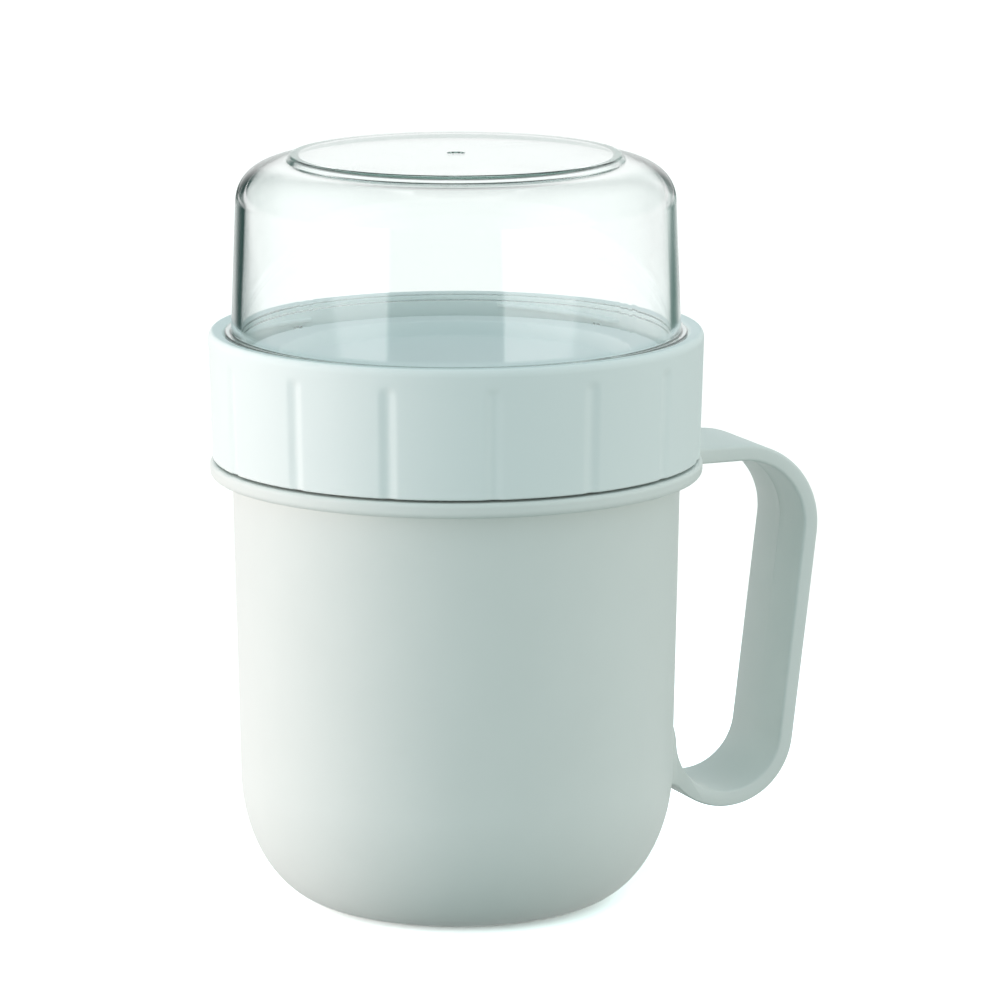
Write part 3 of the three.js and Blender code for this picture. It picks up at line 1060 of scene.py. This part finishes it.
@dataclass(frozen=True)
class Studio:
    """White paper floor and surround, soft lamps, the camera, and a drawn studio that reflections see."""

    # The camera's angles in degrees, its place and lens in mm, and the lamps' aim in metres.
    heading: float = 23.33
    pitch: float = -11.0
    camera_right: float = 8.86
    camera_distance: float = 1200.0
    camera_height: float = 316.2
    lens: float = 216.6
    sensor: float = 36.0
    aim_height: float = 0.075
    # The floor, in metres but for its drop in mm. Its shade, times the gain, turns into lit paper between
    # the shadow's reach and end. The bounce and ambient are the light that floor and world throw.
    floor_size: float = 6.0
    floor_drop: float = 0.1
    floor_gain: float = 2.9
    paper: str = "#F8FEFC"
    paper_light: float = 1.18
    shadow_reach: float = 0.15
    shadow_end: float = 0.30
    floor_bounce: str = "#95A5A3"
    ambient: str = "#BDD1D4"
    # What reflections see, as colours by the place to the right: metres on the floor, directions times the
    # reach above it, and sines on the camera's side. Each start is the place towards the camera.
    sweep_width: float = 2.2
    sweep_reach: float = 0.95
    sweep: Stops = (
        (-0.97, "#FFFFFF"), (-0.72, "#354B48"), (-0.42, "#354B48"), (-0.17, "#F2F6F5"),
        (0.17, "#F2F6F5"), (0.34, "#677F7A"), (0.50, "#677F7A"), (0.62, "#D0DCD9"),
        (1.00, "#FFFFFF"),
    )
    sweep_above: Stops = (
        (-0.60, "#EEF3F2"), (-0.44, "#546A66"), (-0.36, "#546A66"), (-0.17, "#FAFDFC"),
        (0.17, "#FAFDFC"), (0.28, "#C0CDCA"), (0.34, "#C0CDCA"), (0.44, "#F2F6F5"),
    )
    camera_side: Stops = (
        (-0.58, "#FFFFFF"), (-0.55, "#141D1C"), (0.40, "#141D1C"), (0.43, "#FFFFFF"),
    )
    camera_side_start: float = 0.6
    camera_side_light: float = 1.9
    overhead: Stops = (
        (-0.85, "#DDE6E4"), (-0.30, "#3C524F"), (0.30, "#3C524F"), (0.70, "#DDE6E4"),
    )
    overhead_start: float = -0.8
    zone_edge: float = 0.05
    light_bounces: int = 24
    softboxes: tuple[Softbox, ...] = (
        Softbox("key_softbox", -1.19, 0.0, 0.13, 1.0, 0.24, 6.7, "#FFE2E4"),
        Softbox("front_softbox", -1.14, 0.37, 0.13, 0.9, 0.24, 5.3, "#FFFDF8"),
        Softbox("fill_softbox", 1.13, 0.38, 0.13, 0.9, 0.24, 3.9, "#FFF3EB"),
        Softbox("top_softbox", 0.2, -0.2, 1.3, 0.9, 0.9, 1.3, "#FFFFFF"),
    )

    def directions(self) -> tuple[Vector, Vector]:
        """Level directions to the picture's right and towards the camera."""
        turn = math.radians(self.heading)
        return Vector((math.cos(turn), -math.sin(turn), 0)), Vector((-math.sin(turn), -math.cos(turn), 0))

    def by_ray(self, tree: Tree, light: Socket, white: Socket, studio: Socket) -> Socket:
        """Picks a shader by the kind of ray that meets the floor or the surround.

        A ray that shows the surround sees white. If it was reflected on its way it sees the drawn studio
        instead, which is what draws the dark edges of a clear wall. Any other ray only carries light.

        Args:
            tree: node tree of the floor or the world.
            light: shader for rays that carry light.
            white: shader for rays that show the surround.
            studio: shader for those of them that were reflected.

        Returns:
            The mixed shader.
        """
        path = add_node(tree, "LightPath", {}).outputs
        seen = path["Is Camera Ray"]
        for kind in ("Is Glossy Ray", "Is Transmission Ray"):
            seen = maths(tree, "MAXIMUM", seen, path[kind])
        reflected = maths(tree, "MULTIPLY", seen, maths(tree, "GREATER_THAN", path["Glossy Depth"], 0.0))
        plain = add_node(tree, "MixShader", {0: seen, 1: light, 2: white}).outputs[0]
        return add_node(tree, "MixShader", {0: reflected, 1: plain, 2: studio}).outputs[0]

    def across(self, tree: Tree, place: Socket, zones: Stops, reach: float = 1.0) -> Socket:
        """Colour by how far to the picture's right a ray ends: the dot product of its end with that way.

        Args:
            tree: node tree of the floor or the world.
            place: the ray's end in metres, or its direction.
            zones: places to the right with their colours, in metres, or sines for a plain direction.
            reach: length that a direction of length 1 stands for, in metres.

        Returns:
            A colour socket.
        """
        right = self.directions()[0] * reach / self.sweep_width
        along = add_node(tree, "VectorMath", {0: place, 1: right}, operation="DOT_PRODUCT")
        ramp = add_node(tree, "ValToRGB", {
            "Fac": maths(tree, "ADD", along.outputs["Value"], RAMP_MIDDLE),
        })
        stops = ramp.color_ramp.elements
        stops.remove(stops[1])
        for side, colour in zones:
            stops.new(RAMP_MIDDLE + side / self.sweep_width).color = linear(colour)
        stops.remove(stops[0])
        return ramp.outputs["Color"]

    def in_front(self, tree: Tree, place: Socket, start: float) -> Socket:
        """Whether a ray ends nearer the camera than a start, as a soft step of a dot product that way.

        Args:
            tree: node tree of the floor or the world.
            place: the ray's end in metres, or its direction.
            start: middle of the step.

        Returns:
            A socket that goes from 0 behind the start to 1 in front of it.
        """
        near = add_node(tree, "VectorMath", {0: place, 1: self.directions()[1]}, operation="DOT_PRODUCT")
        return add_node(tree, "MapRange", {
            "Value": near.outputs["Value"],
            "From Min": start - self.zone_edge, "From Max": start + self.zone_edge,
        }).outputs["Result"]

    def surround(self) -> None:
        """Makes the world: white to look at, the studio in reflections, and a dim mint grey as light."""
        world = bpy.data.worlds.new("studio_surround")
        world.use_nodes = True
        tree = world.node_tree
        tree.nodes.clear()
        way = add_node(tree, "TexCoord", {}).outputs["Generated"]
        studio = mixed(
            tree, self.in_front(tree, way, self.overhead_start),
            self.across(tree, way, self.sweep_above, self.sweep_reach),
            self.across(tree, way, self.overhead, self.sweep_reach),
        )
        light, white, above = (
            add_node(tree, "Background", {"Color": colour}).outputs[0]
            for colour in (linear(self.ambient), linear(WHITE), studio)
        )
        add_node(tree, "OutputWorld", {"Surface": self.by_ray(tree, light, white, above)})
        bpy.context.scene.world = world

    def floor(self) -> None:
        """Makes the floor: a flat square that looks white and keeps the object's soft shadow.

        Near the object it shows its own shade, which further out gives way to evenly lit paper. Reflections
        see the studio's zones, and those on the camera's side are brighter.
        """
        half = self.floor_size / 2 / MM
        square = np.array([[-half, -half], [half, -half], [half, half], [-half, half]])
        points = np.column_stack([square, np.full(4, -self.floor_drop)])
        floor = make_piece("studio_floor", (points, [[0, 1, 2, 3]]))
        material, tree = blank_material("white_paper_sweep")
        place = add_node(tree, "TexCoord", {}).outputs["Object"]
        gain = (self.floor_gain, self.floor_gain, self.floor_gain, 1.0)
        bounce = add_node(tree, "BsdfDiffuse", {"Color": linear(self.floor_bounce)}).outputs[0]
        shade = add_node(tree, "BsdfDiffuse", {"Color": gain}).outputs[0]
        paper = add_node(tree, "Emission", {
            "Color": linear(self.paper), "Strength": self.paper_light,
        }).outputs[0]
        away = add_node(tree, "VectorMath", {0: place}, operation="LENGTH").outputs["Value"]
        beyond = add_node(tree, "MapRange", {
            "Value": away, "From Min": self.shadow_reach, "From Max": self.shadow_end,
        }).outputs["Result"]
        white = add_node(tree, "MixShader", {0: beyond, 1: shade, 2: paper}).outputs[0]
        way = add_node(tree, "VectorMath", {0: place}, operation="NORMALIZE").outputs["Vector"]
        front = self.in_front(tree, place, self.camera_side_start)
        studio = mixed(
            tree, front, self.across(tree, place, self.sweep), self.across(tree, way, self.camera_side),
        )
        strength = maths(tree, "MULTIPLY_ADD", front, self.camera_side_light - 1, 1.0)
        below = add_node(tree, "Emission", {"Color": studio, "Strength": strength}).outputs[0]
        add_node(tree, "OutputMaterial", {"Surface": self.by_ray(tree, bounce, white, below)})
        floor.data.materials.append(material)

    def lamps(self) -> None:
        """Hangs the softboxes, each aimed at the middle of the object."""
        right, towards = self.directions()
        for box in self.softboxes:
            lamp = bpy.data.lights.new(box.name, "AREA")
            lamp.shape = "RECTANGLE"
            lamp.size, lamp.size_y = box.width, box.height
            lamp.energy = box.watts
            lamp.color = linear(box.colour)[:3]
            holder = bpy.data.objects.new(box.name, lamp)
            holder.visible_glossy = holder.visible_transmission = False
            place = right * box.right + towards * box.towards + Vector((0, 0, box.up))
            holder.location = place
            aim = Vector((0, 0, self.aim_height)) - place
            holder.rotation_euler = aim.to_track_quat("-Z", "Y").to_euler()
            bpy.context.scene.collection.objects.link(holder)

    def camera(self) -> None:
        """Sets up the camera where the photograph was taken from."""
        right, towards = self.directions()
        lens = bpy.data.cameras.new("camera")
        lens.lens = self.lens
        lens.sensor_width = self.sensor
        camera = bpy.data.objects.new("camera", lens)
        level = right * self.camera_right + towards * self.camera_distance
        camera.location = (level + Vector((0, 0, self.camera_height))) * MM
        pitch = math.radians(self.pitch)
        look = -towards * math.cos(pitch) + Vector((0, 0, math.sin(pitch)))
        camera.rotation_euler = look.to_track_quat("-Z", "Y").to_euler()
        bpy.context.scene.collection.objects.link(camera)
        bpy.context.scene.camera = camera

    def build(self) -> None:
        """Makes the whole studio. A clear wall passes light on inside it many times, so bounces are many."""
        bpy.context.scene.view_settings.view_transform = "Standard"
        paths = bpy.context.scene.cycles
        paths.max_bounces = paths.glossy_bounces = paths.transmission_bounces = self.light_bounces
        self.surround()
        self.floor()
        self.lamps()
        self.camera()


def main() -> None:
    """Builds and dresses the sub-assemblies in order, and sets up the studio."""
    logging.basicConfig(level=logging.INFO, format="%(name)s: %(message)s")
    cup_seal = SealRing(
        "cup_gasket", "cup_seal", Body.CUP_SEAL, inner=42.75, outer=46.95, low=106.0, high=107.6,
    )
    dome_seal = SealRing(
        "dome_gasket", "dome_seal", Body.DOME_SEAL, inner=42.823, outer=45.723, low=110.2, high=111.4,
    )
    for assembly in (Cup(), cup_seal, ScrewCollar(), dome_seal, ClearDome()):
        assembly.dress(assembly.build())
    Studio().build()


if __name__ == "__main__":
    main()
